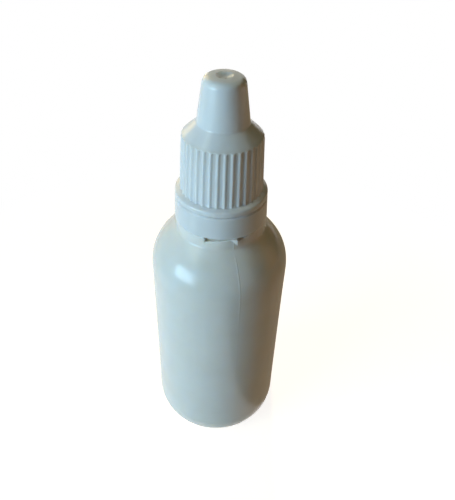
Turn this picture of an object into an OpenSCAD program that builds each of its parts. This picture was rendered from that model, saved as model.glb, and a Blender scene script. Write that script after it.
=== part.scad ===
// Eye drop bottle: a squeezable bottle with a pressed-in dropper plug,
// a ribbed screw cap with a tall nose, and a tamper band under the cap.
// The bottle's axis is Z and it stands on Z = 0. The front is towards -Y.

/* [Bottle] */
// Outer diameter of the round body
body_d = 32; // [30:0.5:34]
// Height at which the straight wall ends and the shoulder starts
body_h = 51.8; // [45:0.1:56]
// Height of the shoulder, from the straight wall to the collar's top
shoulder_h = 14.1; // [13.8:0.1:14.4]
// Outer diameter of the collar at the foot of the neck
collar_d = 20.1; // [19.9:0.1:20.2]
// Height of the collar's upright wall
collar_h = 2.8; // [2.6:0.1:3]
// Wall thickness of the squeezable body
wall = 1.0; // [0.8:0.1:1.2]
// Width of the rounded corner at the base
corner_w = 5; // [4:0.5:6]
// Height of the rounded corner at the base
corner_h = 7; // [5:0.5:9]
// Depth of the hollow under the base
push_up = 1.4; // [0.8:0.1:2]
// Depth of the deep end of each ramped notch in the collar
notch_depth = 1.2; // [0.8:0.1:1.4]

/* [Neck] */
// Height of the neck, from the collar to the rim
neck_h = 17.5; // [17.3:0.1:17.6]
// Outer diameter of the neck between the thread's turns
neck_d = 13.1; // [12.9:0.1:13.3]
// Diameter of the bore through the neck
bore_d = 10.7; // [10.5:0.1:10.9]
// Diameter of the thick foot of the neck, inside the band
neck_foot_d = 15.2; // [14.8:0.1:15.4]
// Diameter of the bead that holds the band down
bead_d = 17.1; // [16.8:0.1:17.4]

/* [Thread] */
// Rise of the cap in one turn
lead = 3; // [2.8:0.1:3.2]
// Turns of thread on the neck, and in the cap
thread_turns = 1.75; // [1.5:0.25:1.75]
// Height of the thread ridges
thread_depth = 0.5; // [0.4:0.05:0.5]
// Gap between the two threads' flanks
flank_gap = 0.12; // [0.1:0.01:0.2]

/* [Dropper plug] */
// Length of the plug body that is pressed into the neck
plug_depth = 6; // [5:0.5:7]
// Diameter of the flange that rests on the rim
plug_flange_d = 12.7; // [12.3:0.1:12.9]
// Height of the nozzle's tip above the flange
nozzle_h = 10.4; // [10:0.1:10.5]
// Diameter of the nozzle near its root
nozzle_d = 6.4; // [6:0.1:6.8]
// Diameter of the nozzle below its rounded tip
nozzle_tip_d = 3.5; // [3.2:0.1:3.8]
// Diameter of the drop hole
orifice_d = 0.6; // [0.5:0.05:0.7]

/* [Cap] */
// Diameter of the plain flange at the cap's lower edge
flange_d = 20.1; // [19.8:0.1:20.4]
// Height of the plain flange
flange_h = 0.8; // [0.6:0.1:1]
// Height over which the ribbed skirt flares out to the flange
flare_h = 1.1; // [0.9:0.1:1.4]
// Diameter over the ribs at the foot of the skirt
skirt_d = 18; // [17.8:0.1:18.2]
// Diameter over the ribs at the top of the skirt
skirt_top_d = 17; // [16.8:0.1:17.2]
// Height of the ribbed skirt
skirt_h = 11.8; // [11.6:0.1:12]
// Height of the sloping shoulder above the skirt
cap_shoulder_h = 2.9; // [2.7:0.1:3.1]
// Diameter of the nose at its foot
nose_d = 10.9; // [10.7:0.1:11.1]
// Diameter of the nose below its rounded top
nose_top_d = 8.7; // [8.5:0.1:8.9]
// Height of the nose above the shoulder
nose_h = 9.4; // [9.2:0.1:9.6]
// Radius of the nose's rounded top edge
nose_round = 1.4; // [1.2:0.1:1.6]
// Diameter of the shallow dimple in the nose's top
dimple_d = 3.4; // [2.5:0.1:4]
// Depth of the dimple
dimple_depth = 0.5; // [0.3:0.05:0.6]

/* [Grip ribs] */
// Number of ribs around the skirt
rib_count = 36; // [30:1:40]
// Width of a rib at its outer face
rib_w = 0.85; // [0.7:0.05:1]
// Depth of the grooves between the ribs
groove_depth = 0.25; // [0.2:0.05:0.3]

/* [Tamper band] */
// Diameter of the band at its lower edge
band_d = 20.6; // [20.3:0.1:20.8]
// Diameter of the band at its upper edge
band_top_d = 20.2; // [20:0.1:20.4]
// Height of the band
band_h = 5.3; // [5.1:0.1:5.4]
// Gap between the band and the bottle's collar
band_clear = 0.2; // [0.15:0.05:0.3]
// Gap between the band and the cap, where the bridges stand
bridge_gap = 0.2; // [0.15:0.05:0.3]
// Number of break-off bridges
bridge_count = 12; // [8:1:16]

/* [Hidden] */
$fn = 96;

// Heights, from the table up
collar_z = body_h + shoulder_h;
rim_z = collar_z + neck_h;
band_z = collar_z + band_clear;
band_top_z = band_z + band_h;
cap_z = band_top_z + bridge_gap;
flare_z = cap_z + flange_h;
skirt_z = flare_z + flare_h;
cap_shoulder_z = skirt_z + skirt_h;
nose_z = cap_shoulder_z + cap_shoulder_h;
top_z = nose_z + nose_h;

// Bottle: floor, base ring and bead
body_r = body_d / 2;
collar_r = collar_d / 2;
collar_foot_z = collar_z - collar_h;
collar_edge = 0.35;
neck_r = neck_d / 2;
bore_r = bore_d / 2;
neck_foot_r = neck_foot_d / 2;
bead_r = bead_d / 2;
floor_t = 1.1;
base_ring_w = 1.3;
bead_z = collar_z + 3.3;
bead_h = 0.5;
bead_slope_h = 1.4;
rim_edge = 0.3;

// Notches in the collar: where each deep end is, in degrees round from the front
// towards the right, and how wide each ramp is. The set repeats behind the bottle.
notches = [[-18.5, 5.6], [22.5, 2.6]];
notch_inner_r = 9;

// Ratchet tooth between the notches: where its steep side is, its width and height,
// how far that side stands out of the collar, and how deep the tooth is rooted
tooth_deg = 22;
tooth_w = 1.1;
tooth_h = 1.4;
tooth_out = 0.65;
tooth_root = 0.6;

// Threads: half widths of a ridge at its foot and at its crest
ridge_foot = 0.55;
ridge_crest = 0.25;
ridge_sink = 0.3;
steps_per_turn = 32;
fade_steps = 4;
neck_thread_z = rim_z - 8.4;
cap_bore_r = neck_r + thread_depth + 0.2;
mid_half_width = (ridge_foot + ridge_crest) / 2 - 0.06;
cap_thread_z = neck_thread_z - 2 * mid_half_width - flank_gap;

// Dropper plug
plug_r = bore_r - 0.05;
plug_rib_r = bore_r + 0.07;
plug_flange_h = 0.8;
plug_flange_r = plug_flange_d / 2;
plug_wall = 1;
nozzle_r = nozzle_d / 2;
nozzle_tip_r = nozzle_tip_d / 2;
nozzle_top_r = 0.9;
tip_round_h = 1.3;
flange_top_z = rim_z + plug_flange_h;
tip_z = flange_top_z + nozzle_h;
seat_r = 0.5;
seat_depth = 1.1;
channel_h = 1;

// Cap
flange_r = flange_d / 2;
skirt_r = skirt_d / 2;
skirt_top_r = skirt_top_d / 2;
nose_r = nose_d / 2;
nose_top_r = nose_top_d / 2;
dimple_r = dimple_d / 2;
cap_ceiling_z = flange_top_z + 0.2;
nose_ceiling_z = top_z - 1.7;
nose_wall = 0.9;
pin_r = seat_r - 0.08;
pin_foot_r = 1.2;
pin_foot_z = tip_z + 0.1;
pin_tip_z = tip_z - 0.9;
cap_mouth_r = bead_r + 0.15;
edge = 0.15;
shoulder_edge = 0.35;
crown_r = nose_top_r - nose_round;
crown_drop = 0.12;

// Ribs and grooves
groove_z = skirt_z - 0.3;
groove_top_z = cap_shoulder_z + 1;
groove_floor_top_r = skirt_top_r - groove_depth;
groove_floor_r = skirt_r - groove_depth;
rib_draft = 0.1;
rib_phase = 5.4;

// Tamper band
band_r = band_d / 2;
band_top_r = band_top_d / 2;
band_in_r = bead_r + 0.6;
lip_r = neck_foot_r + 0.4;
lip_top_z = bead_z - 0.3;
lip_h = 0.5;
lip_slope_h = 1.4;
bridge_w_deg = 3.5;
bridge_t = 0.4;
bridge_h = bridge_gap - 0.1;

// Points along an ellipse's arc, in the plane of radius and height
function arc(cr, cz, rr, rz, from, to, n = 8) =
    [for (i = [0:n]) let (a = from + (to - from) * i / n) [cr + rr * cos(a), cz + rz * sin(a)]];

// Points along a smooth curve that leaves a towards b and reaches d from c
function curve(a, b, c, d, n = 12) =
    [for (i = [0:n]) let (t = i / n, s = 1 - t) s*s*s * a + 3*s*s*t * b + 3*s*t*t * c + t*t*t * d];

// Points along the shallow dome of the base, from the axis out to radius r
function dome(r, depth, z, n = 6) =
    [for (i = [0:n]) [r * i / n, z + depth * (1 - pow(i / n, 2))]];

function reversed(list) = [for (i = [len(list) - 1:-1:0]) list[i]];

// A helical ridge. Its section is wide at one radius and narrow at the other, and it
// runs out into the wall at both ends.
module ridge(wall_r, crest_r, z) {
    n = thread_turns * steps_per_turn;
    outward = crest_r > wall_r;
    foot_r = wall_r + (outward ? -ridge_sink : ridge_sink);
    sunk_r = wall_r + (outward ? -ridge_sink : ridge_sink) / 3;
    function height(i) = min(1, i / fade_steps, (n - i) / fade_steps);
    function section(r) = outward
        ? [[foot_r, -ridge_foot], [r, -ridge_crest], [r, ridge_crest], [foot_r, ridge_foot]]
        : [[r, -ridge_crest], [foot_r, -ridge_foot], [foot_r, ridge_foot], [r, ridge_crest]];
    points = [
        for (i = [0:n])
        let (a = 360 * i / steps_per_turn, r = sunk_r + (crest_r - sunk_r) * height(i))
        for (p = section(r))
        [p[0] * cos(a), p[0] * sin(a), z + lead * i / steps_per_turn + p[1]]
    ];
    sides = [
        for (i = [0:n - 1], j = [0:3])
        let (a = 4 * i + j, b = 4 * i + (j + 1) % 4)
        for (f = [[a, b, b + 4], [a, b + 4, a + 4]])
        f
    ];
    ends = [[3, 2, 1], [3, 1, 0], [4 * n, 4 * n + 1, 4 * n + 2], [4 * n, 4 * n + 2, 4 * n + 3]];
    polyhedron(points, concat(sides, ends));
}

module bottle() {
    base_ring_r = body_r - corner_w;
    inner_r = body_r - wall;
    outside = concat(
        dome(base_ring_r - base_ring_w, push_up, 0),
        arc(body_r - corner_w, corner_h, corner_w, corner_h, -90, 0),
        curve([body_r, body_h], [body_r, body_h + 4.7], [collar_r + 4.3, collar_foot_z - 4.1],
            [collar_r + 0.4, collar_foot_z - 0.36]),
        curve([collar_r + 0.35, collar_foot_z - 0.31], [collar_r + 0.1, collar_foot_z - 0.05],
            [collar_r, collar_foot_z + 0.1], [collar_r, collar_foot_z + 0.5], 4),
        [
            [collar_r, collar_z - collar_edge],
            [collar_r - 0.3 * collar_edge, collar_z - 0.3 * collar_edge],
            [collar_r - collar_edge, collar_z],
            [neck_foot_r, collar_z],
            [neck_foot_r, bead_z],
            [bead_r, bead_z],
            [bead_r, bead_z + bead_h],
            [neck_r, bead_z + bead_h + bead_slope_h],
            [neck_r, rim_z - rim_edge],
            [neck_r - rim_edge, rim_z]
        ]
    );
    inside = concat(
        dome(base_ring_r - base_ring_w, push_up, floor_t),
        arc(body_r - corner_w, corner_h + floor_t, corner_w - wall, corner_h, -90, 0),
        curve([inner_r, body_h], [inner_r, body_h + 8.2], [collar_r - 0.9, collar_z - 5.3],
            [bore_r + 1, collar_z - 1.3]),
        [[bore_r, collar_z - 0.3], [bore_r, rim_z - rim_edge], [bore_r + rim_edge, rim_z]]
    );
    color("#efece4") {
        difference() {
            rotate_extrude() polygon(concat(outside, reversed(inside)));
            for (side = [0, 180], notch = notches)
                rotate([0, 0, side + notch[0]]) collar_notch(notch[1]);
        }
        for (side = [0, 180])
            rotate([0, 0, side + tooth_deg]) ratchet_tooth();
        ridge(neck_r, neck_r + thread_depth, neck_thread_z);
    }
}

// A wedge that is deep at its left end and ramps up to the collar's top at its right,
// with a round inner wall
module collar_notch(length) {
    difference() {
        rotate([90, 0, 0])
            translate([0, collar_z, notch_inner_r / 2])
            linear_extrude(notch_inner_r)
            polygon([[0, -notch_depth], [length, 0], [length, 1], [0, 1]]);
        translate([0, 0, collar_z - 2]) cylinder(r = notch_inner_r, h = 4);
    }
}

// A wedge that rises out of the collar from its left end to its steep right side, and
// gets taller on the way
module ratchet_tooth() {
    tooth_z = collar_z - 0.1;
    intersection() {
        translate([0, 0, tooth_z - tooth_h])
            linear_extrude(tooth_h)
            polygon([
                [0, -collar_r - tooth_out],
                [0, -collar_r + tooth_root],
                [-tooth_w, -collar_r + tooth_root],
                [-tooth_w, -collar_r + 0.1]
            ]);
        rotate([90, 0, 0])
            linear_extrude(collar_r + tooth_out + 1)
            polygon([[1, tooth_z - tooth_h], [1, tooth_z + 1], [-tooth_w - 1, tooth_z + 1],
                [-tooth_w - 1, tooth_z - 0.3], [-tooth_w, tooth_z - 0.3], [0, tooth_z - tooth_h]]);
    }
}

module dropper_plug() {
    bottom_z = rim_z - plug_depth;
    outside = [
        [plug_r - plug_wall, bottom_z],
        [plug_r - 0.3, bottom_z],
        [plug_r, bottom_z + 0.8],
        [plug_r, bottom_z + 1.7],
        [plug_rib_r, bottom_z + 1.9],
        [plug_rib_r, bottom_z + 2.2],
        [plug_r, bottom_z + 2.6],
        [plug_r, bottom_z + 3.7],
        [plug_rib_r, bottom_z + 3.9],
        [plug_rib_r, bottom_z + 4.2],
        [plug_r, bottom_z + 4.6],
        [plug_r, rim_z],
        [plug_flange_r, rim_z],
        [plug_flange_r, flange_top_z - edge],
        [plug_flange_r - edge, flange_top_z],
        [nozzle_r + 0.5, flange_top_z],
        [nozzle_r, flange_top_z + 0.9]
    ];
    tip = arc(nozzle_top_r, tip_z - tip_round_h, nozzle_tip_r - nozzle_top_r, tip_round_h, 0, 90, 6);
    inside = [
        [seat_r, tip_z],
        [seat_r, tip_z - seat_depth],
        [orifice_d / 2, tip_z - seat_depth - 0.1],
        [orifice_d / 2, tip_z - seat_depth - channel_h],
        [nozzle_tip_r - 0.7, tip_z - seat_depth - channel_h - 0.7],
        [nozzle_r - plug_wall, flange_top_z + 0.4],
        [plug_r - plug_wall - 0.2, rim_z - 1.2]
    ];
    color("#e6e7e1") rotate_extrude() polygon(concat(outside, tip, inside));
}

// The gaps between the ribs: a ring round the skirt, less the ribs themselves
module grooves() {
    outer_r = flange_r + 0.4;
    rib_foot_r = groove_floor_top_r - 1;
    function half_width(r) = rib_w / 2 + rib_draft * (skirt_top_r - r);
    difference() {
        rotate_extrude()
            polygon([
                [groove_floor_r, groove_z],
                [outer_r, groove_z],
                [outer_r, groove_top_z],
                [groove_floor_top_r, groove_top_z]
            ]);
        for (i = [0:rib_count - 1])
            rotate([0, 0, rib_phase + i * 360 / rib_count - 90])
            translate([0, 0, groove_z - 1])
            linear_extrude(groove_top_z - groove_z + 2)
            polygon([
                [rib_foot_r, -half_width(rib_foot_r)],
                [outer_r + 0.5, -half_width(outer_r + 0.5)],
                [outer_r + 0.5, half_width(outer_r + 0.5)],
                [rib_foot_r, half_width(rib_foot_r)]
            ]);
    }
}

module cap() {
    shoulder_slope = cap_shoulder_h / (skirt_top_r - nose_r);
    crown_z = top_z - crown_drop;
    outside = concat(
        [[cap_mouth_r, cap_z], [flange_r - edge, cap_z], [flange_r, cap_z + edge]],
        curve([flange_r, flare_z], [flange_r, flare_z + 0.6 * flare_h],
            [skirt_r, flare_z + 0.4 * flare_h], [skirt_r, skirt_z], 8),
        curve([skirt_top_r, cap_shoulder_z - shoulder_edge], [skirt_top_r, cap_shoulder_z],
            [skirt_top_r, cap_shoulder_z],
            [skirt_top_r - shoulder_edge, cap_shoulder_z + shoulder_edge * shoulder_slope], 4),
        curve([nose_r + shoulder_edge, nose_z - shoulder_edge * shoulder_slope], [nose_r, nose_z],
            [nose_r, nose_z], [nose_r - 0.04, nose_z + shoulder_edge], 4),
        arc(crown_r, crown_z - nose_round, nose_round, nose_round, 6, 84, 8),
        [[(crown_r + dimple_r) / 2, top_z - crown_drop / 3]],
        reversed(dome(dimple_r, -dimple_depth, top_z))
    );
    inside = [
        [0, pin_tip_z],
        [pin_r - 0.12, pin_tip_z],
        [pin_r, pin_tip_z + 0.2],
        [pin_r, pin_foot_z],
        [pin_foot_r, pin_foot_z],
        [pin_foot_r + 0.1, nose_ceiling_z],
        [nose_top_r - nose_wall - 0.2, nose_ceiling_z],
        [nose_r - nose_wall, cap_ceiling_z],
        [cap_bore_r, cap_ceiling_z],
        [cap_bore_r, skirt_z - 0.1],
        [cap_mouth_r - 0.2, flare_z]
    ];
    color("#f1f3f3") {
        difference() {
            rotate_extrude() polygon(concat(outside, inside));
            grooves();
        }
        ridge(cap_bore_r, cap_bore_r - thread_depth, cap_thread_z);
    }
}

module tamper_band() {
    color("#f1f3f3") {
        rotate_extrude()
            polygon([
                [band_in_r + edge, band_z],
                [band_r - edge, band_z],
                [band_r, band_z + edge],
                [band_top_r, band_top_z - 0.4],
                [band_top_r - 0.35, band_top_z],
                [band_in_r, band_top_z],
                [band_in_r, lip_top_z],
                [lip_r, lip_top_z],
                [lip_r, lip_top_z - lip_h],
                [band_in_r, lip_top_z - lip_h - lip_slope_h]
            ]);
        for (i = [0:bridge_count - 1])
            rotate([0, 0, i * 360 / bridge_count])
            rotate_extrude(angle = bridge_w_deg)
            translate([band_in_r + 0.1, band_top_z - 0.1])
            square([bridge_t, bridge_h + 0.1]);
    }
}

bottle();
dropper_plug();
cap();
tamper_band();
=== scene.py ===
import math

import bmesh
import bpy
from mathutils import Matrix, Vector


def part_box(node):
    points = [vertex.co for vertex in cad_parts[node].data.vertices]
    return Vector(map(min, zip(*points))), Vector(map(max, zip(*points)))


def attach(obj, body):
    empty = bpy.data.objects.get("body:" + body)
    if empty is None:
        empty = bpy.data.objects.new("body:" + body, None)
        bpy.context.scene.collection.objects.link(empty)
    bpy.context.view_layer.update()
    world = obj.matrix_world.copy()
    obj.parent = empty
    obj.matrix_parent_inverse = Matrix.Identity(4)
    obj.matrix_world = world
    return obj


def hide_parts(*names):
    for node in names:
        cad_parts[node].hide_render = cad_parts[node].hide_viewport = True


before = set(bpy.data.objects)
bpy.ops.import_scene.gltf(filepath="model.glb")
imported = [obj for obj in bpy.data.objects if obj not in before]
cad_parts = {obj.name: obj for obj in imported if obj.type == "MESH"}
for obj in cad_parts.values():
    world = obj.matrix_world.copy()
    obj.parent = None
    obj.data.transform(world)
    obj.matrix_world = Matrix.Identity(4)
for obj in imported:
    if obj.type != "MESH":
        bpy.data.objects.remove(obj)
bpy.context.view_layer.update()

mm = 0.001    # metres
hair = 0.001  # mm, a difference that counts as none


def linear(hexColour):
    # sRGB hex to the linear colour that a shader reads
    parts = [int(hexColour[i:i + 2], 16) / 255 for i in (1, 3, 5)]
    return tuple(c / 12.92 if c <= 0.04045 else ((c + 0.055) / 1.055) ** 2.4 for c in parts) + (1.0,)


def addNode(tree, kind, inputs=None, **settings):
    node = tree.nodes.new(kind)
    for name, value in settings.items():
        setattr(node, name, value)
    for socket, value in (inputs or {}).items():
        if isinstance(value, bpy.types.NodeSocket):
            tree.links.new(value, node.inputs[socket])
        else:
            node.inputs[socket].default_value = value
    return node


def newMaterial(name):
    material = bpy.data.materials.new(name)
    material.use_nodes = True
    material.node_tree.nodes.clear()
    return material, material.node_tree


def highMm(node):
    # highest corner of a CAD node, in millimetres
    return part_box(node)[1] / mm


def lowMm(node):
    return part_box(node)[0] / mm


# Camera: where the photograph was taken from, worked out from the outline of the bottle
view = {
    "imageHeight": 500,       # pixels
    "focal": 547.0,           # pixels
    "sensor": 36.0,           # mm, along the image's height
    "elevation": 40.1,        # degrees above level
    "roll": 2.3,              # degrees
    "distance": 129.8,        # mm from the aim point
    "aim": (1.85, 0.0, 54.85),  # mm
}


def makeCamera():
    data = bpy.data.cameras.new("camera")
    data.sensor_width = view["sensor"]
    data.lens = view["focal"] / view["imageHeight"] * view["sensor"]
    data.clip_start = 0.005
    camera = bpy.data.objects.new("camera", data)
    bpy.context.scene.collection.objects.link(camera)
    tilt = math.radians(view["elevation"])
    back = Vector((0, -math.cos(tilt), math.sin(tilt)))
    place = (Vector(view["aim"]) + back * view["distance"]) * mm
    lean = Matrix.Rotation(math.radians(view["roll"]), 4, "Z")
    turn = Matrix.Rotation(math.pi / 2 - tilt, 4, "X") @ lean
    camera.matrix_world = Matrix.Translation(place) @ turn
    bpy.context.scene.camera = camera


makeCamera()
print("camera ready")


# Outlines are (radius, height) points in mm, and a third value rounds that corner
def arcPoints(centreR, centreZ, reachR, reachZ, start, end, count):
    turns = [math.radians(start + (end - start) * i / count) for i in range(count + 1)]
    return [(centreR + reachR * math.cos(t), centreZ + reachZ * math.sin(t)) for t in turns]


def curvePoints(a, b, c, d, count):
    points = []
    for i in range(count + 1):
        t = i / count
        s = 1 - t
        mix = (s ** 3, 3 * s * s * t, 3 * s * t * t, t ** 3)
        points.append(tuple(sum(m * p[k] for m, p in zip(mix, (a, b, c, d))) for k in (0, 1)))
    return points


def roundCorners(points, steps=4):
    made = []
    for i, point in enumerate(points):
        if len(point) < 3:
            made.append(Vector(point))
            continue
        corner = Vector(point[:2])
        before = Vector(points[i - 1][:2]) - corner
        after = Vector(points[(i + 1) % len(points)][:2]) - corner
        half = before.angle(after) / 2
        reach = min(point[2] / math.tan(half), before.length * 0.45, after.length * 0.45)
        centre = corner + (before.normalized() + after.normalized()).normalized() * (reach / math.cos(half))
        first = corner + before.normalized() * reach - centre
        last = corner + after.normalized() * reach - centre
        sweep = first.angle(last)
        for k in range(steps + 1):
            t = k / steps
            spread = (math.sin((1 - t) * sweep) * first + math.sin(t * sweep) * last) / math.sin(sweep)
            made.append(centre + spread)
    return made


def traceOutline(points, longest, margin=0.1):
    # rounds the corners, then splits long stretches and keeps a point close to each end of them,
    # so that smooth shading stays flat where the surface is flat
    corners = roundCorners(points)
    made = [corners[0]]
    for start, end in zip(corners, corners[1:]):
        length = (end - start).length
        if length > 4 * margin:
            made.append(start.lerp(end, margin / length))
            parts = max(1, math.ceil((length - 2 * margin) / longest))
            inner = [margin + (length - 2 * margin) * k / parts for k in range(1, parts)]
            made += [start.lerp(end, along / length) for along in inner]
            made.append(start.lerp(end, 1 - margin / length))
        made.append(end)
    return [tuple(p) for p in made]


def spreadAngles(step, *near):
    # columns every step degrees, and closer ones at the given offsets round each given angle
    angles = {round(i * step, 3) for i in range(round(360 / step))}
    closest = 0.3 * step
    for centres, offsets in near:
        for centre in centres:
            taken = [(centre + off) % 360 for off in offsets]
            angles = {a for a in angles if min(abs(turnedFrom(a, t)) for t in taken) > closest}
            angles |= {round(t, 3) for t in taken}
    return sorted(angles)


def turnSolid(name, parts, angles):
    # turns outlines about Z; each part is an outline and the function that shapes its points
    mesh = bmesh.new()
    rings = []
    for outline, shape in parts:
        for radius, height in outline:
            if radius < 1e-6:
                rings.append([mesh.verts.new((0, 0, height * mm))])
                continue
            ring = []
            for angle in angles:
                r, z = shape(angle, radius, height) if shape else (radius, height)
                turned = math.radians(angle)
                ring.append(mesh.verts.new((r * math.sin(turned) * mm, -r * math.cos(turned) * mm, z * mm)))
            rings.append(ring)
    if len(rings[0]) > 1:
        rings.append(rings[0])  # an outline that never meets the axis closes on itself
    for lower, upper in zip(rings, rings[1:]):
        for i in range(len(angles)):
            k = (i + 1) % len(angles)
            if len(lower) == 1:
                corners = (lower[0], upper[k], upper[i])
            elif len(upper) == 1:
                corners = (lower[i], lower[k], upper[0])
            else:
                corners = (lower[i], lower[k], upper[k], upper[i])
            mesh.faces.new(corners).smooth = True
    data = bpy.data.meshes.new(name)
    mesh.to_mesh(data)
    mesh.free()
    piece = bpy.data.objects.new(name, data)
    bpy.context.scene.collection.objects.link(piece)
    return piece


def smoothStep(value, low, high):
    t = min(1.0, max(0.0, (value - low) / (high - low)))
    return t * t * (3 - 2 * t)


def turnedFrom(angle, centre):
    # degrees from centre to angle, from -180 to 180
    return (angle - centre + 180) % 360 - 180


# Screw thread that the neck and the cap share
thread = {
    "lead": 3.0,       # mm of rise in a turn
    "turns": 1.75,
    "depth": 0.5,      # mm
    "crest": 0.25,     # mm, half width at the top of the ridge
    "foot": 0.44,      # mm, half width where it meets the wall
    "blend": 0.05,     # mm, rounding of its edges
    "runOut": 45.0,    # degrees over which it fades at each end
}


def threadHeight(angle, height, start):
    along = (angle - 90) % 360  # the thread starts at +X
    best = 0.0
    while along <= 360 * thread["turns"]:
        off = abs(height - start - thread["lead"] * along / 360)
        fade = min(1.0, along / thread["runOut"], (360 * thread["turns"] - along) / thread["runOut"])
        slope = smoothStep(off, thread["crest"] - thread["blend"], thread["foot"] + thread["blend"])
        best = max(best, fade * (1 - slope))
        along += 360
    return best * thread["depth"]


# Bottle, blow-moulded in one piece; lengths are in mm, and heights are from the floor up
bottle = {
    "bodyRadius": highMm("bottle").x,
    "rim": highMm("bottle").z,
    "wall": 1.0,
    "floor": 1.1,
    "cornerWidth": 5.0,
    "cornerHeight": 7.0,
    "baseRing": 1.3,           # width of the ring that it stands on
    "pushUp": 1.4,             # height of the hollow under the base
    "shoulderFoot": 51.8,
    "shoulderPull": 4.7,       # how far the line of the wall carries on before the shoulder leans in
    "shoulderEase": (4.3, 4.1),  # outside and below the foot of the collar, where the slope levels out
    "shoulderPullInside": 8.2,
    "insideRows": (40.0, 25.0),
    "collarRadius": 10.05,
    "collarHeight": 2.8,       # of its upright wall
    "collarEdge": 0.35,        # rounding of its top edge
    "collarRings": (8.4, 7.9),  # radii of the rings between the notches and the neck
    "neckFootRadius": 7.6,
    "beadRadius": 8.55,
    "beadUnderside": 3.3,      # above the collar
    "beadThickness": 0.5,
    "beadSlope": 1.4,
    "neckRadius": 6.55,
    "boreRadius": 5.35,
    "neckHeight": 17.5,
    "lipEdge": 0.3,            # rounding of the rim
    "threadBelowRim": 8.4,
    "threadRowsFrom": 7.5,     # above the collar
    "notches": ((-18.5, 5.6), (22.5, 2.6)),  # degrees of the deep end, mm that the ramp runs
    "notchDepth": 1.2,
    "notchInner": 9.0,
    "cutZone": 2.4,            # height of the wall that a notch draws down
    "tooth": 22.0,             # degrees of the steep side
    "toothSpan": 8.0,          # degrees
    "toothWidth": 1.1,
    "toothOut": 0.65,
    "toothRoot": 0.1,          # how deep its low end sits in the wall
    "toothStart": 0.3,         # height of its low end
    "toothHeight": 1.4,
    "toothBelow": 0.1,         # from the collar's top down to the tooth's
    "partingLine": 18.5,       # degrees
    "partingWidth": 0.13,
    "partingShoulder": 0.06,   # how far the seam stands out on the shoulder
    "partingBody": 0.008,      # and lower down
    "partingRise": (44.0, 56.0),  # heights between which it grows
    "partingFoot": (0.2, 2.0),
    "partingTop": (65.3, 65.6),
    "pinchOff": 0.12,          # how far the seam stands out under the base
    "waist": 0.09,             # how far the walls draw in at half height
    "waistSpan": 60.0,
    "ripple": 0.035,           # unevenness of the blown wall
    "unevenFrom": (3.0, 12.0),  # heights over which it comes in
    "unevenTo": (46.0, 60.0),  # and dies away
}
collar = bottle["rim"] - bottle["neckHeight"]


def shoulderCurve(count):
    # a long slope, a tight bend into the upright wall of the collar, and its rounded top edge
    reach, foot = bottle["bodyRadius"], bottle["shoulderFoot"]
    wall, wallFoot = bottle["collarRadius"], collar - bottle["collarHeight"]
    easeOut, easeDown = bottle["shoulderEase"]
    slope = curvePoints(
        (reach, foot), (reach, foot + bottle["shoulderPull"]),
        (wall + easeOut, wallFoot - easeDown), (wall + 0.4, wallFoot - 0.36), count)
    bend = curvePoints(
        (wall + 0.35, wallFoot - 0.31), (wall + 0.1, wallFoot - 0.05),
        (wall, wallFoot + 0.1), (wall, wallFoot + 0.5), 8)
    return slope + bend + collarEdgeArc() + [(wall - bottle["collarEdge"], collar)]


def collarEdgeArc():
    edge = bottle["collarEdge"]
    return arcPoints(bottle["collarRadius"] - edge, collar - edge, edge, edge, 0, 85, 6)


shoulderLine = shoulderCurve(160)


def shoulderRadius(height):
    for (r0, z0), (r1, z1) in zip(shoulderLine, shoulderLine[1:]):
        if z0 <= height <= z1:
            return r0 + (r1 - r0) * (height - z0) / (z1 - z0)
    return bottle["collarRadius"]


def notchFloor(angle):
    # height of the notch's ramp, or None outside the notches
    for start, length in bottle["notches"]:
        for side in (0, 180):
            off = math.radians(turnedFrom(angle, start + side))
            if 0 <= off < math.pi / 3:
                across = bottle["collarRadius"] * math.sin(off)
                if across < length:
                    return collar - bottle["notchDepth"] * (1 - across / length)
    return None


def toothReach(angle, depth):
    # radius of the ratchet tooth, which gets taller and stands out further towards its steep side
    for side in (0, 180):
        off = turnedFrom(angle, bottle["tooth"] + side)
        if -bottle["toothSpan"] < off <= 0:
            slope = (bottle["toothOut"] + bottle["toothRoot"]) / bottle["toothWidth"]
            turned = math.radians(off)
            steepSide = bottle["collarRadius"] + bottle["toothOut"]
            reach = steepSide / (math.cos(turned) - slope * math.sin(turned))
            share = 1 + reach * math.sin(turned) / bottle["toothWidth"]
            if depth < bottle["toothStart"] + (bottle["toothHeight"] - bottle["toothStart"]) * share:
                return reach
    return 0.0


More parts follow.
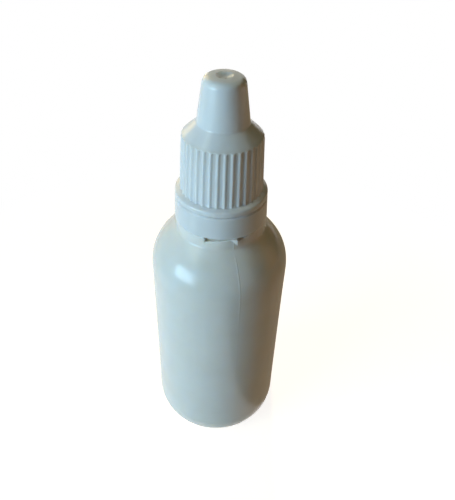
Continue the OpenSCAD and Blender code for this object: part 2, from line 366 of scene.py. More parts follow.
def shapeBottle(angle, radius, height):
    seam = min(abs(turnedFrom(angle, bottle["partingLine"] + side)) for side in (0, 180))
    seamOff = radius * math.sin(math.radians(seam)) / bottle["partingWidth"]
    ridge = math.exp(-seamOff * seamOff)
    ringRadius = bottle["bodyRadius"] - bottle["cornerWidth"]
    onCollar = height > collar - bottle["collarHeight"]
    if height < collar - hair and (radius > ringRadius - hair or onCollar):
        cutFoot = collar - bottle["cutZone"]
        toothTop = collar - bottle["toothBelow"]
        if height > cutFoot:
            floor = notchFloor(angle)
            if floor:
                height = cutFoot + (height - cutFoot) * (floor - cutFoot) / (collar - cutFoot)
                radius = shoulderRadius(height)
            elif height < toothTop:
                radius = max(radius, toothReach(angle, toothTop - height))
        wallShare = smoothStep(height, *bottle["unevenFrom"])
        wallShare *= 1 - smoothStep(height, *bottle["unevenTo"])
        turned = math.radians(angle)
        along = min(1.0, max(0.0, height / bottle["waistSpan"]))
        drawn = 4 * along * (1 - along)
        wobble = (
            math.sin(2 * turned + 0.9 + 0.05 * height)
            + 0.6 * math.sin(3 * turned + 2.1 - 0.11 * height)
            + 0.4 * math.sin(5 * turned + 0.3 + 0.17 * height)
        )
        radius -= wallShare * (bottle["waist"] * drawn + bottle["ripple"] * (wobble + 2) / 4)
        seamHeight = bottle["partingBody"]
        seamHeight += (bottle["partingShoulder"] - seamHeight) * smoothStep(height, *bottle["partingRise"])
        comesIn = smoothStep(height, *bottle["partingFoot"])
        diesAway = 1 - smoothStep(height, *bottle["partingTop"])
        radius += ridge * seamHeight * comesIn * diesAway
    elif height <= bottle["pushUp"] + hair:
        height -= ridge * min(bottle["pinchOff"], height * 0.6)  # it stays clear of the floor
    elif abs(height - collar) < hair and radius > bottle["neckFootRadius"] + 0.01:
        floor = notchFloor(angle)
        if floor and radius > bottle["notchInner"]:
            return radius, floor
    elif height > collar + bottle["threadRowsFrom"] - 0.01 and radius > bottle["neckRadius"] - 0.01:
        radius += threadHeight(angle, height, bottle["rim"] - bottle["threadBelowRim"])
    return radius, height


def makeBottle():
    body = bottle["bodyRadius"]
    rim = bottle["rim"]
    neck = bottle["neckRadius"]
    bore = bottle["boreRadius"]
    collarRadius = bottle["collarRadius"]
    notchInner = bottle["notchInner"]
    ringRadius = body - bottle["cornerWidth"]
    domeRadius = ringRadius - bottle["baseRing"]
    bead = collar + bottle["beadUnderside"]
    beadTop = bead + bottle["beadThickness"]
    domeSteps = 14
    dome = [(domeRadius * i / domeSteps, bottle["pushUp"] * (1 - (i / domeSteps) ** 2))
            for i in range(domeSteps + 1)]
    corner = arcPoints(
        ringRadius, bottle["cornerHeight"], bottle["cornerWidth"], bottle["cornerHeight"], -90, 0, 22)
    wall = traceOutline([(body, bottle["cornerHeight"]), (body, bottle["shoulderFoot"])], 2.2)
    # the shoulder's own points, then even rows up the collar, for the notches and teeth
    rowsFoot = collar - 1.9
    rowStep = 0.1
    shoulder = [p for p in shoulderCurve(48) if p[1] < rowsFoot - rowStep / 2]
    shoulder += [(collarRadius, rowsFoot + rowStep * i) for i in range(16)] + collarEdgeArc()
    notchShares = (0.36, 0.5, 0.7, 0.85, 0.97)
    collarTop = [(collarRadius - share * (collarRadius - notchInner), collar) for share in notchShares]
    collarTop += [(notchInner - hair, collar)] + [(radius, collar) for radius in bottle["collarRings"]]
    threadFoot = collar + bottle["threadRowsFrom"]
    neckFoot = traceOutline([
        (bottle["neckFootRadius"], collar),
        (bottle["neckFootRadius"], bead, 0.15),
        (bottle["beadRadius"], bead, 0.12),
        (bottle["beadRadius"], beadTop, 0.12),
        (neck, beadTop + bottle["beadSlope"], 0.3),
        (neck, threadFoot),
    ], 0.8)
    threaded = traceOutline([(neck, threadFoot), (neck, rim - 1)], 0.12)
    outside = dome[:-1] + [(domeRadius, 0.0)] + corner + wall[1:-1] + shoulder + collarTop
    outside += neckFoot + threaded[1:] + [(neck, rim - bottle["lipEdge"])]
    lip = traceOutline([
        (neck, rim - bottle["lipEdge"]),
        (neck - bottle["lipEdge"], rim, 0.1),
        (bore + bottle["lipEdge"], rim, 0.1),
        (bore, rim - bottle["lipEdge"], 0.1),
        (bore, collar - 0.3, 0.5),
        (bore + 1, collar - 1.3),
    ], 3)
    inner = body - bottle["wall"]
    shoulderIn = curvePoints(
        (inner, bottle["shoulderFoot"]), (inner, bottle["shoulderFoot"] + bottle["shoulderPullInside"]),
        (collarRadius - 0.9, collar - 5.3), (bore + 1, collar - 1.3), 24)
    cornerIn = arcPoints(
        ringRadius, bottle["cornerHeight"] + bottle["floor"],
        bottle["cornerWidth"] - bottle["wall"], bottle["cornerHeight"], 0, -90, 14)
    floorIn = [(r, z + bottle["floor"]) for r, z in reversed(dome)]
    inside = lip[1:-1] + shoulderIn[::-1]
    inside += [(inner, height) for height in bottle["insideRows"]] + cornerIn + floorIn
    # the second notch begins at the tooth, whose columns do for both
    sides = (0, 180)
    seams = [bottle["partingLine"] + side for side in sides]
    starts = [bottle["notches"][0][0] + side for side in sides]
    teeth = [bottle["tooth"] + side for side in sides]
    angles = spreadAngles(
        1.5,
        (seams, (-1.6, -1.1, -0.7, -0.35, 0, 0.35, 0.7, 1.1, 1.6)),
        (starts, (-0.55, -0.12, 0.12, 0.55)),
        (teeth, (-0.4, -0.02, 0.12, 0.28, 0.42, 0.9)))
    piece = turnSolid("bottle_body", [(outside, shapeBottle), (inside, None)], angles)
    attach(piece, "bottle")
    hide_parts("bottle")
    piece.data.materials.append(blownPolyethylene())


# Bottle plastic: low-density polyethylene coloured white and blown in a polished mould.
# It is a warm, slightly waxy white with a soft gloss that wavers, and faint lines run up the
# wall where the hot tube left the die.
bottleFinish = {
    "colour": "#ece9e4",
    "thinColour": "#e9e5de",   # where the wall is thinner
    "ior": 1.51,
    "roughness": (0.2, 0.265),  # under 0.27, where the noise filter starts to blotch a gloss
    "bleed": 1.0,              # share of light that travels inside the plastic
    "bleedDepth": 2.0,         # mm
    "bleedColour": (1.0, 0.85, 0.7),
    "patch": 11.0,             # mm, size of the thin patches
    "smudge": 5.0,             # mm, size of handling marks
    "wave": 7.0,               # mm, length of the waver in the gloss
    "waveHeight": 0.02,        # mm
    "peel": 0.6,               # mm, orange peel, drawn coarser than the real one so that it shows
    "peelHeight": 0.0022,      # mm
    "dieLine": 0.5,            # mm between die lines
    "dieLineHeight": 0.0016,   # mm
}


def perMm(size):
    # scale of a pattern whose grain is that many millimetres, in coordinates of metres
    return 1 / (size * mm)


def blownPolyethylene():
    look = bottleFinish
    material, tree = newMaterial("blownPolyethylene")
    place = addNode(tree, "ShaderNodeTexCoord").outputs["Object"]
    patch = addNode(tree, "ShaderNodeTexNoise",
                    {"Vector": place, "Scale": perMm(look["patch"]), "Detail": 3.0, "Roughness": 0.5})
    tint = addNode(tree, "ShaderNodeValToRGB", {"Fac": patch.outputs["Fac"]})
    tint.color_ramp.elements[0].position = 0.35
    tint.color_ramp.elements[0].color = linear(look["thinColour"])
    tint.color_ramp.elements[1].position = 0.6
    tint.color_ramp.elements[1].color = linear(look["colour"])
    smudge = addNode(tree, "ShaderNodeTexNoise",
                     {"Vector": place, "Scale": perMm(look["smudge"]), "Detail": 4.0, "Roughness": 0.6})
    rough = addNode(tree, "ShaderNodeMapRange", {
        "Value": smudge.outputs["Fac"], "From Min": 0.35, "From Max": 0.7,
        "To Min": look["roughness"][0], "To Max": look["roughness"][1]})
    wave = addNode(tree, "ShaderNodeTexNoise",
                   {"Vector": place, "Scale": perMm(look["wave"]), "Detail": 1.0, "Roughness": 0.4})
    peel = addNode(tree, "ShaderNodeTexNoise",
                   {"Vector": place, "Scale": perMm(look["peel"]), "Detail": 2.0, "Roughness": 0.5})
    along = addNode(tree, "ShaderNodeMapping", {"Vector": place, "Scale": (1.0, 1.0, 0.03)})
    lines = addNode(tree, "ShaderNodeTexNoise",
                    {"Vector": along.outputs["Vector"], "Scale": perMm(look["dieLine"]), "Detail": 1.0})
    bent = addNode(tree, "ShaderNodeBump",
                   {"Height": wave.outputs["Fac"], "Distance": look["waveHeight"] * mm, "Strength": 1.0})
    bent = addNode(tree, "ShaderNodeBump", {
        "Height": lines.outputs["Fac"], "Distance": look["dieLineHeight"] * mm, "Strength": 1.0,
        "Normal": bent.outputs["Normal"]})
    bent = addNode(tree, "ShaderNodeBump", {
        "Height": peel.outputs["Fac"], "Distance": look["peelHeight"] * mm, "Strength": 1.0,
        "Normal": bent.outputs["Normal"]})
    shader = addNode(tree, "ShaderNodeBsdfPrincipled", {
        "Base Color": tint.outputs["Color"], "Roughness": rough.outputs["Result"],
        "Normal": bent.outputs["Normal"], "IOR": look["ior"], "Subsurface Weight": look["bleed"],
        "Subsurface Radius": look["bleedColour"], "Subsurface Scale": look["bleedDepth"] * mm})
    addNode(tree, "ShaderNodeOutputMaterial", {"Surface": shader.outputs["BSDF"]})
    return material


# Cap, injection-moulded, with grip ribs round the skirt and a tall nose over the nozzle; in mm
cap = {
    "foot": lowMm("cap").z,
    "top": highMm("cap").z,
    "flangeRadius": highMm("cap").x,
    "flange": 0.8,
    "flare": 1.1,
    "skirtRadius": 9.0,
    "skirtTopRadius": 8.5,
    "skirt": 11.8,
    "shoulder": 2.9,
    "shoulderRound": 0.6,
    "noseRadius": 5.45,
    "noseTopRadius": 4.35,
    "noseRound": 1.4,
    "noseFootRound": 0.5,
    "crownDrop": 0.12,         # fall of the nose's top from the dimple to the rounding
    "dimpleRadius": 1.7,
    "dimpleDepth": 0.5,
    "ribs": 36,
    "ribAngle": 5.4,           # degrees, the middle of the first rib
    "ribHeight": 0.24,         # mm from a rib's crown to the groove beside it
    "ribShare": 0.72,          # share of the pitch that a rounded rib takes
    "ribRunUp": 0.4,           # share of the shoulder that the ribs run up
    "grooveBelowSkirt": 0.3,
    "grooveRamp": 0.06,        # half the height over which a groove ends
    "bore": 7.25,
    "mouth": 8.7,
    "ceiling": 84.4,
    "noseCeiling": 95.9,
    "noseWall": 0.9,
    "pinRadius": 0.42,
    "pinFoot": 94.7,
    "pinTip": 93.7,
    "threadStart": 74.2,
    "threadTop": 83.0,
    "edge": 0.15,
}
flareFoot = cap["foot"] + cap["flange"]
skirtFoot = flareFoot + cap["flare"]
skirtTop = skirtFoot + cap["skirt"]
noseFoot = skirtTop + cap["shoulder"]


def shapeCap(angle, radius, height):
    grooveFoot = skirtFoot - cap["grooveBelowSkirt"]
    if height < grooveFoot - cap["grooveRamp"]:
        return radius, height
    pitch = 360 / cap["ribs"]
    off = abs((angle - cap["ribAngle"] + pitch / 2) % pitch - pitch / 2) / (pitch / 2)
    draft = (cap["skirtRadius"] - cap["skirtTopRadius"]) / cap["skirt"]
    crown = cap["skirtRadius"] - draft * (height - skirtFoot)
    drop = cap["ribHeight"] * smoothStep(off, 0, cap["ribShare"])
    drop *= smoothStep(height, grooveFoot - cap["grooveRamp"], grooveFoot + cap["grooveRamp"])
    if drop < hair or radius < cap["noseRadius"]:
        return radius, height
    return min(radius, crown - drop), height


def shapeCapInside(angle, radius, height):
    if abs(radius - cap["bore"]) < 0.01 and height < cap["threadTop"]:
        radius -= threadHeight(angle, height, cap["threadStart"])
    return radius, height


def makeCap():
    pinFootRadius = 1.2
    threadFoot = skirtFoot + 0.1
    pin = traceOutline([
        (0, cap["pinTip"]),
        (cap["pinRadius"] - 0.06, cap["pinTip"], 0.1),
        (cap["pinRadius"], cap["pinTip"] + 0.2, 0.1),
        (cap["pinRadius"], cap["pinFoot"], 0.1),
        (pinFootRadius, cap["pinFoot"], 0.2),
        (pinFootRadius + 0.1, cap["noseCeiling"], 0.3),
        (cap["noseTopRadius"] - cap["noseWall"] - 0.2, cap["noseCeiling"], 0.6),
        (cap["noseRadius"] - cap["noseWall"], cap["ceiling"], 0.2),
        (cap["bore"], cap["ceiling"], 0.4),
        (cap["bore"], cap["threadTop"]),
    ], 3)
    threaded = traceOutline([(cap["bore"], cap["threadTop"]), (cap["bore"], threadFoot)], 0.14)
    mouth = traceOutline([
        (cap["bore"], threadFoot),
        (cap["mouth"] - 0.2, flareFoot, 0.2),
        (cap["mouth"], cap["foot"], 0.05),
        (cap["flangeRadius"], cap["foot"], cap["edge"]),
        (cap["flangeRadius"], flareFoot),
    ], 1)
    flare = curvePoints(
        (cap["flangeRadius"], flareFoot), (cap["flangeRadius"], flareFoot + 0.6 * cap["flare"]),
        (cap["skirtRadius"], flareFoot + 0.4 * cap["flare"]), (cap["skirtRadius"], skirtFoot), 14)
    # where the grooves end, four close rows take the place of the flare's own
    grooveFoot = skirtFoot - cap["grooveBelowSkirt"]
    cleared = cap["grooveRamp"] + 0.01
    cut = [p for p in flare if p[1] < grooveFoot - cleared]
    after = [p for p in flare if p[1] > grooveFoot + cleared]
    below, above = cut[-1][0], after[0][0]
    rows = ((0.3, -0.06), (0.45, -0.02), (0.55, 0.02), (0.7, 0.06))
    joined = [(below + (above - below) * share, grooveFoot + rise) for share, rise in rows]
    skirtEnd = (cap["skirtTopRadius"], skirtTop - 0.5)
    skirt = traceOutline([(cap["skirtRadius"], skirtFoot), skirtEnd], 0.9)
    runUp, rest = cap["ribRunUp"], 1 - cap["ribRunUp"]
    grooveEnd = (
        cap["skirtTopRadius"] * rest + cap["noseRadius"] * runUp,
        skirtTop * rest + noseFoot * runUp)
    slope = traceOutline(
        [skirtEnd, (cap["skirtTopRadius"], skirtTop, cap["shoulderRound"]), grooveEnd], 0.1, 0.04)
    crownFoot = cap["top"] - cap["crownDrop"] - cap["noseRound"]
    crownRadius = cap["noseTopRadius"] - cap["noseRound"]
    nose = traceOutline([
        grooveEnd,
        (cap["noseRadius"], noseFoot, cap["noseFootRound"]),
        (cap["noseTopRadius"] + 0.01, crownFoot),
    ], 1.6)
    crown = arcPoints(crownRadius, crownFoot, cap["noseRound"], cap["noseRound"], 5, 84, 12)
    crown.append(((crownRadius + cap["dimpleRadius"]) / 2, cap["top"] - cap["crownDrop"] / 3))
    crown.append((cap["dimpleRadius"] + 0.08, cap["top"] - 0.005))
    dimpleSteps = 12
    dimple = []
    for i in range(dimpleSteps, -1, -1):
        share = i / dimpleSteps
        dimple.append((cap["dimpleRadius"] * share, cap["top"] - cap["dimpleDepth"] * (1 - share * share)))
    outside = mouth[1:-1] + cut + joined + after[:-1] + skirt + slope[1:] + nose[1:-1] + crown + dimple
    inside = pin + threaded[1:]
    pitch = 360 / cap["ribs"]
    shares = (0, 0.2, 0.38, 0.54, 0.68, 0.8, 0.9, 0.96)
    offsets = sorted({side * share * pitch / 2 for share in shares for side in (-1, 1)} | {pitch / 2})
    middles = [cap["ribAngle"] + i * pitch for i in range(cap["ribs"])]
    angles = sorted({round((middle + off) % 360, 3) for middle in middles for off in offsets})
    piece = turnSolid("screw_cap", [(inside, shapeCapInside), (outside, shapeCap)], angles)
    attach(piece, "cap")
    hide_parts("cap")
    piece.data.materials.append(mouldedPolypropylene())


# Cap plastic: white polypropylene, injection-moulded in a finely ground steel mould.
# It is a cleaner, cooler white than the bottle, with a harder gloss, faint flow marks that run
# down from the nose, and dust with painted shade darkening the grooves between the ribs.
capFinish = {
    "colour": "#e6e8ea",
    "flowColour": "#e1e3e5",
    # colour of the grooves: dust, together with painted shade as if the ribs shadowed them
    "dustShadeColour": "#d4d2cc",
    "ior": 1.49,
    "roughness": (0.18, 0.26),
    "bleed": 1.0,
    "bleedDepth": 0.9,        # mm
    "bleedColour": (1.0, 0.9, 0.8),
    "flow": 4.0,              # mm across a flow mark
    "smudge": 3.0,            # mm
    "dustShadeDepth": 0.2,         # mm from the floor of the grooves
    "dustShadeAmount": 0.55,
    "dustShadeFade": 0.8,          # mm above the skirt over which it ends
    "grain": 0.35,            # mm, the ground mould's grain, drawn coarser than real so that it shows
    "grainHeight": 0.0016,    # mm
    "wave": 5.0,              # mm
    "waveHeight": 0.008,      # mm
}


def mouldedPolypropylene():
    look = capFinish
    material, tree = newMaterial("mouldedPolypropylene")
    place = addNode(tree, "ShaderNodeTexCoord").outputs["Object"]
    along = addNode(tree, "ShaderNodeMapping", {"Vector": place, "Scale": (1.0, 1.0, 0.25)})
    flow = addNode(tree, "ShaderNodeTexNoise",
                   {"Vector": along.outputs["Vector"], "Scale": perMm(look["flow"]), "Detail": 3.0})
    tint = addNode(tree, "ShaderNodeValToRGB", {"Fac": flow.outputs["Fac"]})
    tint.color_ramp.elements[0].position = 0.38
    tint.color_ramp.elements[0].color = linear(look["flowColour"])
    tint.color_ramp.elements[1].position = 0.58
    tint.color_ramp.elements[1].color = linear(look["colour"])
    # dust and painted shade darken the floor of the grooves and thin out towards the crowns of the ribs
    flat = addNode(tree, "ShaderNodeVectorMath", {0: place, 1: (1.0, 1.0, 0.0)}, operation="MULTIPLY")
    reach = addNode(tree, "ShaderNodeVectorMath", {0: flat.outputs["Vector"]}, operation="LENGTH")
    low = cap["skirtTopRadius"] - cap["ribHeight"]
    deep = addNode(tree, "ShaderNodeMapRange", {
        "Value": reach.outputs["Value"], "From Min": low * mm, "From Max": (low + look["dustShadeDepth"]) * mm,
        "To Min": 1.0, "To Max": 0.0})
    height = addNode(tree, "ShaderNodeSeparateXYZ", {"Vector": place})
    belowShoulder = addNode(tree, "ShaderNodeMapRange", {
        "Value": height.outputs["Z"],
        "From Min": skirtTop * mm, "From Max": (skirtTop + look["dustShadeFade"]) * mm,
        "To Min": look["dustShadeAmount"], "To Max": 0.0})
    dustAndShade = addNode(tree, "ShaderNodeMath",
                    {0: deep.outputs["Result"], 1: belowShoulder.outputs["Result"]}, operation="MULTIPLY")
    # painted shade: the floors of the grooves are mixed towards a darker colour, as if in shadow, along with
    # dust
    colour = addNode(tree, "ShaderNodeMix", {
        "Factor": dustAndShade.outputs["Value"], "A": tint.outputs["Color"], "B": linear(look["dustShadeColour"])},
        data_type="RGBA")
    smudge = addNode(tree, "ShaderNodeTexNoise",
                     {"Vector": place, "Scale": perMm(look["smudge"]), "Detail": 4.0, "Roughness": 0.6})
    rough = addNode(tree, "ShaderNodeMapRange", {
        "Value": smudge.outputs["Fac"], "From Min": 0.35, "From Max": 0.7,
        "To Min": look["roughness"][0], "To Max": look["roughness"][1]})
    wave = addNode(tree, "ShaderNodeTexNoise",
                   {"Vector": place, "Scale": perMm(look["wave"]), "Detail": 1.0})
    grain = addNode(tree, "ShaderNodeTexNoise",
                    {"Vector": place, "Scale": perMm(look["grain"]), "Detail": 2.0})
    bent = addNode(tree, "ShaderNodeBump",
                   {"Height": wave.outputs["Fac"], "Distance": look["waveHeight"] * mm, "Strength": 1.0})
    bent = addNode(tree, "ShaderNodeBump", {
        "Height": grain.outputs["Fac"], "Distance": look["grainHeight"] * mm, "Strength": 1.0,
        "Normal": bent.outputs["Normal"]})
    shader = addNode(tree, "ShaderNodeBsdfPrincipled", {
        "Base Color": colour.outputs["Result"], "Roughness": rough.outputs["Result"],
        "Normal": bent.outputs["Normal"], "IOR": look["ior"], "Subsurface Weight": look["bleed"],
        "Subsurface Radius": look["bleedColour"], "Subsurface Scale": look["bleedDepth"] * mm})
    addNode(tree, "ShaderNodeOutputMaterial", {"Surface": shader.outputs["BSDF"]})
    return material


# Tamper band, left on the neck when the cap was first opened; in mm
band = {
    "foot": lowMm("tamper_band").z,
    "bridgeTop": highMm("tamper_band").z,
    "radius": highMm("tamper_band").x,
    "gap": 0.2,                # between the band and the cap
    "topRadius": 10.1,
    "bore": 9.15,
    "lipRadius": 8.0,
    "lipTop": 2.8,             # above the foot
    "lip": 0.5,
    "lipSlope": 1.4,
    "bridges": 12,
    "bridgeDegrees": 3.5,
    "bridgeInner": 9.25,
    "bridgeThick": 0.4,
    "edge": 0.15,
    "topSlope": (0.35, 0.4),   # across and down
}
bandTop = cap["foot"] - band["gap"]


def shapeBand(angle, radius, height):
    # the stubs of the broken bridges stand up from the band's top
    if abs(height - bandTop) < hair:
        off = angle % (360 / band["bridges"])
        inRing = band["bridgeInner"] - hair < radius < band["bridgeInner"] + band["bridgeThick"] + hair
        if inRing and 0 <= off <= band["bridgeDegrees"]:
            height = band["bridgeTop"]
    return radius, height


def makeBand():
    foot = band["foot"]
    edge = band["edge"]
    across, down = band["topSlope"]
    lipTop = foot + band["lipTop"]
    bridgeOuter = band["bridgeInner"] + band["bridgeThick"]
    outer = traceOutline([
        (band["bore"] + edge, foot, 0.06),
        (band["radius"] - edge, foot, 0.1),
        (band["radius"], foot + edge, 0.15),
        (band["topRadius"], bandTop - down, 0.2),
        (band["topRadius"] - across, bandTop),
    ], 0.8)
    # close rings on both sides of the bridges keep their walls steep
    ledgeRadii = (
        bridgeOuter + 0.03, bridgeOuter, (bridgeOuter + band["bridgeInner"]) / 2,
        band["bridgeInner"], band["bridgeInner"] - 0.03)
    ledge = [(radius, bandTop) for radius in ledgeRadii]
    inner = traceOutline([
        (band["bridgeInner"] - 0.04, bandTop),
        (band["bore"], bandTop, 0.06),
        (band["bore"], lipTop, 0.1),
        (band["lipRadius"], lipTop, 0.1),
        (band["lipRadius"], lipTop - band["lip"], 0.1),
        (band["bore"], lipTop - band["lip"] - band["lipSlope"], 0.2),
        (band["bore"], foot + 0.2),
    ], 0.8)
    pitch = 360 / band["bridges"]
    begins = [i * pitch for i in range(band["bridges"])]
    ends = [start + band["bridgeDegrees"] for start in begins]
    angles = spreadAngles(1.5, (begins, (-0.5, -0.12, 0, 0.4)), (ends, (-0.4, 0, 0.12, 0.5)))
    piece = turnSolid("tamper_ring", [(outer[1:] + ledge + inner[1:], shapeBand)], angles)
    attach(piece, "tamper_band")
    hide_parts("tamper_band")
    piece.data.materials.append(bpy.data.materials["mouldedPolypropylene"])


# Dropper plug, pressed into the neck, where the cap hides it; in mm
plug = {
    "top": highMm("dropper_plug").z,
    "foot": lowMm("dropper_plug").z,
    "flangeRadius": highMm("dropper_plug").x,
    "radius": 5.3,
    "ribRadius": 5.42,
    "ribs": (1.7, 3.7),     # heights of the sealing ribs above the foot
    "flange": 0.8,
    "wall": 1.0,
    "nozzleRadius": 3.2,
    "nozzleTipRadius": 1.75,
    "tipFlat": 0.9,
    "tipRound": 1.3,
    "seatRadius": 0.5,
    "seatDepth": 1.1,
    "holeRadius": 0.3,
    "channel": 1.0,
}


def makePlug():
    foot = plug["foot"]
    tip = plug["top"]
    radius = plug["radius"]
    bore = radius - plug["wall"]
    rim = bottle["rim"]
    flangeTop = rim + plug["flange"]
    ribs = []
    for low in plug["ribs"]:
        ribs += [
            (radius, foot + low, 0.1), (plug["ribRadius"], foot + low + 0.2, 0.08),
            (plug["ribRadius"], foot + low + 0.5, 0.08), (radius, foot + low + 0.9, 0.1),
        ]
    outline = [
        (bore, foot, 0.1), (radius - 0.3, foot, 0.1), (radius, foot + 0.8, 0.3),
        *ribs,
        (radius, rim, 0.05), (plug["flangeRadius"], rim, 0.08), (plug["flangeRadius"], flangeTop, 0.15),
        (plug["nozzleRadius"] + 0.5, flangeTop, 0.3), (plug["nozzleRadius"], flangeTop + 0.9, 0.3),
    ]
    tipArc = arcPoints(
        plug["tipFlat"], tip - plug["tipRound"],
        plug["nozzleTipRadius"] - plug["tipFlat"], plug["tipRound"], 0, 90, 10)
    seatFoot = tip - plug["seatDepth"]
    channelFoot = seatFoot - plug["channel"]
    inner = [
        (plug["seatRadius"], tip, 0.1), (plug["seatRadius"], seatFoot, 0.1),
        (plug["holeRadius"], seatFoot - 0.1, 0.03), (plug["holeRadius"], channelFoot, 0.05),
        (plug["nozzleTipRadius"] - 0.7, channelFoot - 0.7, 0.2),
        (plug["nozzleRadius"] - plug["wall"], flangeTop + 0.4, 0.4),
        (bore - 0.2, rim - 1.2, 0.4), (bore, foot + 0.2),
    ]
    path = traceOutline(outline + tipArc + inner, 1.5)
    piece = turnSolid("nozzle_plug", [(path[1:], None)], spreadAngles(3))
    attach(piece, "bottle")
    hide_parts("dropper_plug")
    piece.data.materials.append(naturalPolyethylene())


# Plug plastic: low-density polyethylene without pigment, injection-moulded.
# It is milky and lets light through, with a soft satin face.
plugFinish = {
    "colour": "#e4e6df",
    "milkColour": "#d6dad2",
    "ior": 1.51,
    "roughness": (0.3, 0.42),
    "bleed": 0.5,
    "bleedDepth": 1.5,     # mm
    "bleedColour": (1.0, 0.9, 0.8),
    "cloud": 2.5,          # mm, size of the milky patches
    "grain": 0.3,          # mm, the satin mould's grain, drawn coarser than real so that it shows
    "grainHeight": 0.002,  # mm
}


def naturalPolyethylene():
    look = plugFinish
    material, tree = newMaterial("naturalPolyethylene")
    place = addNode(tree, "ShaderNodeTexCoord").outputs["Object"]
    cloud = addNode(tree, "ShaderNodeTexNoise",
                    {"Vector": place, "Scale": perMm(look["cloud"]), "Detail": 2.0})
    tint = addNode(tree, "ShaderNodeValToRGB", {"Fac": cloud.outputs["Fac"]})
    tint.color_ramp.elements[0].position = 0.35
    tint.color_ramp.elements[0].color = linear(look["milkColour"])
    tint.color_ramp.elements[1].position = 0.6
    tint.color_ramp.elements[1].color = linear(look["colour"])
    rough = addNode(tree, "ShaderNodeMapRange", {
        "Value": cloud.outputs["Fac"], "From Min": 0.35, "From Max": 0.7,
        "To Min": look["roughness"][0], "To Max": look["roughness"][1]})
    grain = addNode(tree, "ShaderNodeTexNoise",
                    {"Vector": place, "Scale": perMm(look["grain"]), "Detail": 2.0})
    bent = addNode(tree, "ShaderNodeBump",
                   {"Height": grain.outputs["Fac"], "Distance": look["grainHeight"] * mm, "Strength": 1.0})
    shader = addNode(tree, "ShaderNodeBsdfPrincipled", {
        "Base Color": tint.outputs["Color"], "Roughness": rough.outputs["Result"],
        "Normal": bent.outputs["Normal"], "IOR": look["ior"], "Subsurface Weight": look["bleed"],
        "Subsurface Radius": look["bleedColour"], "Subsurface Scale": look["bleedDepth"] * mm})
    addNode(tree, "ShaderNodeOutputMaterial", {"Surface": shader.outputs["BSDF"]})
    return material


makeBottle()
print("bottle ready")
makeCap()
makeBand()
print("cap and band ready")
makePlug()
print("plug ready")


# Studio: a pale floor, a window of four panes on the left and weak fills round about; on the
# right a dark card stands up, and a warm card lies on the floor
studio = {
    "aim": (0.0, 0.0, 60.0),       # mm
    "floorColour": "#c9bba8",
    "floorLift": 0.86,             # light added to the floor where it is looked at, so that it reads white
    "whiteFrom": 75.0,             # mm from the bottle where the floor starts to turn plain white
    "whiteTo": 130.0,
    "ambient": (0.005, 0.005, 0.005),
    "floorReach": 3.0,             # metres from the bottle to the edge of the floor
    # azimuths run from the front towards the right, in degrees, and lengths are in mm
    "window": {
        "azimuth": -55.5, "elevation": 7.5, "distance": 500.0, "width": 290.0, "height": 200.0,
        "bar": 14.0, "radiance": 12.5, "colour": (0.518, 0.80, 1.0),
    },
    # fills are azimuth, elevation, size in mm, radiance and colour
    "fills": {
        "high_left": (-62.0, 45.0, 220.0, 3.0, (0.86, 1.0, 0.91)),
        "back_left": (-150.0, 20.0, 320.0, 2.2, (1.0, 0.67, 0.18)),
        "warm_right": (98.0, 8.0, 260.0, 1.2, (1.0, 0.46, 0.16)),
        "high_right": (120.0, 65.0, 260.0, 0.6, (0.9, 1.0, 0.46)),
    },
    "card": {
        "azimuth": 105.0, "elevation": 8.0, "distance": 420.0, "width": 900.0, "height": 560.0,
        "standing": (0.0, 0.0, 0.0), "lyingGlow": (0.28, 0.23, 0.16),
        "lying": (17.0, 320.0, -160.0, 260.0),  # its left, right, front and back edges
        "lyingHeight": 0.5,
    },
}


def aimed(azimuth, elevation, distance):
    # a frame at that bearing from the front towards the right, whose -Z looks at the bottle
    turned, raised = math.radians(azimuth), math.radians(elevation)
    level = math.cos(raised)
    away = Vector((math.sin(turned) * level, -math.cos(turned) * level, math.sin(raised)))
    place = (Vector(studio["aim"]) + away * distance) * mm
    return Matrix.Translation(place) @ away.to_track_quat("Z", "Y").to_matrix().to_4x4()


def addLamp(name, frameAt, width, height, radiance, colour):
    data = bpy.data.lights.new(name, "AREA")
    data.shape = "RECTANGLE"
    data.size, data.size_y = width * mm, height * mm
    data.energy = radiance * math.pi * data.size * data.size_y
    data.color = colour
    lamp = bpy.data.objects.new(name, data)
    bpy.context.scene.collection.objects.link(lamp)
    lamp.matrix_world = frameAt
    lamp.visible_camera = False


def addSheet(name, corners, material):
    data = bpy.data.meshes.new(name)
    data.from_pydata([tuple(c) for c in corners], [], [(0, 1, 2, 3)])
    sheet = bpy.data.objects.new(name, data)
    bpy.context.scene.collection.objects.link(sheet)
    data.materials.append(material)
    return sheet


def looksWhite(tree):
    # 1 for camera, glossy and transmission rays, so that reflections show the same background
    path = addNode(tree, "ShaderNodeLightPath")
    seen = addNode(tree, "ShaderNodeMath",
                   {0: path.outputs["Is Camera Ray"], 1: path.outputs["Is Glossy Ray"]}, operation="MAXIMUM")
    seen = addNode(tree, "ShaderNodeMath",
                   {0: seen.outputs["Value"], 1: path.outputs["Is Transmission Ray"]}, operation="MAXIMUM")
    return seen.outputs["Value"]


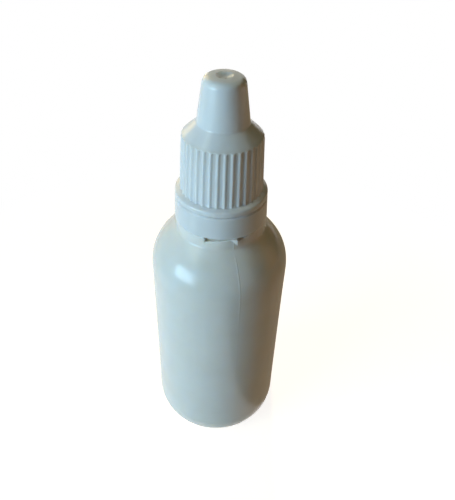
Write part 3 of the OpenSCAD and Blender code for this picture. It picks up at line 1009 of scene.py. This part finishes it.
def makeFloor():
    material, tree = newMaterial("paleFloor")
    paint = addNode(tree, "ShaderNodeBsdfDiffuse", {"Color": linear(studio["floorColour"])})
    lift = addNode(tree, "ShaderNodeEmission", {"Color": (1, 1, 1, 1), "Strength": studio["floorLift"]})
    near = addNode(tree, "ShaderNodeAddShader", {0: paint.outputs["BSDF"], 1: lift.outputs["Emission"]})
    plain = addNode(tree, "ShaderNodeEmission", {"Color": (1, 1, 1, 1), "Strength": 1.0})
    place = addNode(tree, "ShaderNodeTexCoord").outputs["Object"]
    reach = addNode(tree, "ShaderNodeVectorMath", {0: place}, operation="LENGTH")
    fade = addNode(tree, "ShaderNodeMapRange", {
        "Value": reach.outputs["Value"],
        "From Min": studio["whiteFrom"] * mm, "From Max": studio["whiteTo"] * mm,
        "To Min": 0.0, "To Max": 1.0}, interpolation_type="SMOOTHSTEP")
    shown = addNode(tree, "ShaderNodeMixShader",
                    {0: fade.outputs["Result"], 1: near.outputs["Shader"], 2: plain.outputs["Emission"]})
    chosen = addNode(tree, "ShaderNodeMixShader",
                     {0: looksWhite(tree), 1: paint.outputs["BSDF"], 2: shown.outputs["Shader"]})
    addNode(tree, "ShaderNodeOutputMaterial", {"Surface": chosen.outputs["Shader"]})
    half = studio["floorReach"]
    addSheet("floor", [(-half, -half, 0), (half, -half, 0), (half, half, 0), (-half, half, 0)], material)


def makeWorld():
    world = bpy.data.worlds.new("studio")
    world.use_nodes = True
    bpy.context.scene.world = world
    tree = world.node_tree
    tree.nodes.clear()
    dim = addNode(tree, "ShaderNodeBackground", {"Color": studio["ambient"] + (1.0,), "Strength": 1.0})
    white = addNode(tree, "ShaderNodeBackground", {"Color": (1, 1, 1, 1), "Strength": 1.0})
    mixed = addNode(tree, "ShaderNodeMixShader",
                    {0: looksWhite(tree), 1: dim.outputs["Background"], 2: white.outputs["Background"]})
    addNode(tree, "ShaderNodeOutputWorld", {"Surface": mixed.outputs["Shader"]})


def makeLights():
    window = studio["window"]
    frameAt = aimed(window["azimuth"], window["elevation"], window["distance"])
    paneWidth = (window["width"] - window["bar"]) / 2
    paneHeight = (window["height"] - window["bar"]) / 2
    stepAcross = (paneWidth + window["bar"]) / 2
    stepUp = (paneHeight + window["bar"]) / 2
    for i in (-1, 1):
        for k in (-1, 1):
            shift = Vector((i * stepAcross, k * stepUp, 0)) * mm
            addLamp(f"pane{i}{k}", frameAt @ Matrix.Translation(shift), paneWidth, paneHeight,
                    window["radiance"], window["colour"])
    for name, (azimuth, elevation, size, radiance, colour) in studio["fills"].items():
        addLamp(name, aimed(azimuth, elevation, window["distance"]), size, size, radiance, colour)
    card = studio["card"]
    frameAt = aimed(card["azimuth"], card["elevation"], card["distance"])
    across, up = card["width"] / 2 * mm, card["height"] / 2 * mm
    corners = ((-1, -1), (1, -1), (1, 1), (-1, 1))
    standing = [frameAt @ Vector((x * across, y * up, 0)) for x, y in corners]
    left, right, front, back = (edge * mm for edge in card["lying"])
    high = card["lyingHeight"] * mm
    lying = [(left, front, high), (right, front, high), (right, back, high), (left, back, high)]
    cards = (("standing_card", standing, card["standing"]), ("lying_card", lying, card["lyingGlow"]))
    for name, places, glow in cards:
        material, tree = newMaterial(name + "_glow")
        lit = addNode(tree, "ShaderNodeEmission", {"Color": glow + (1.0,), "Strength": 1.0})
        addNode(tree, "ShaderNodeOutputMaterial", {"Surface": lit.outputs["Emission"]})
        sheet = addSheet(name, places, material)
        sheet.visible_camera = False
        sheet.visible_shadow = False


makeFloor()
makeWorld()
makeLights()
print("studio ready")

bpy.context.scene.view_settings.view_transform = "Standard"
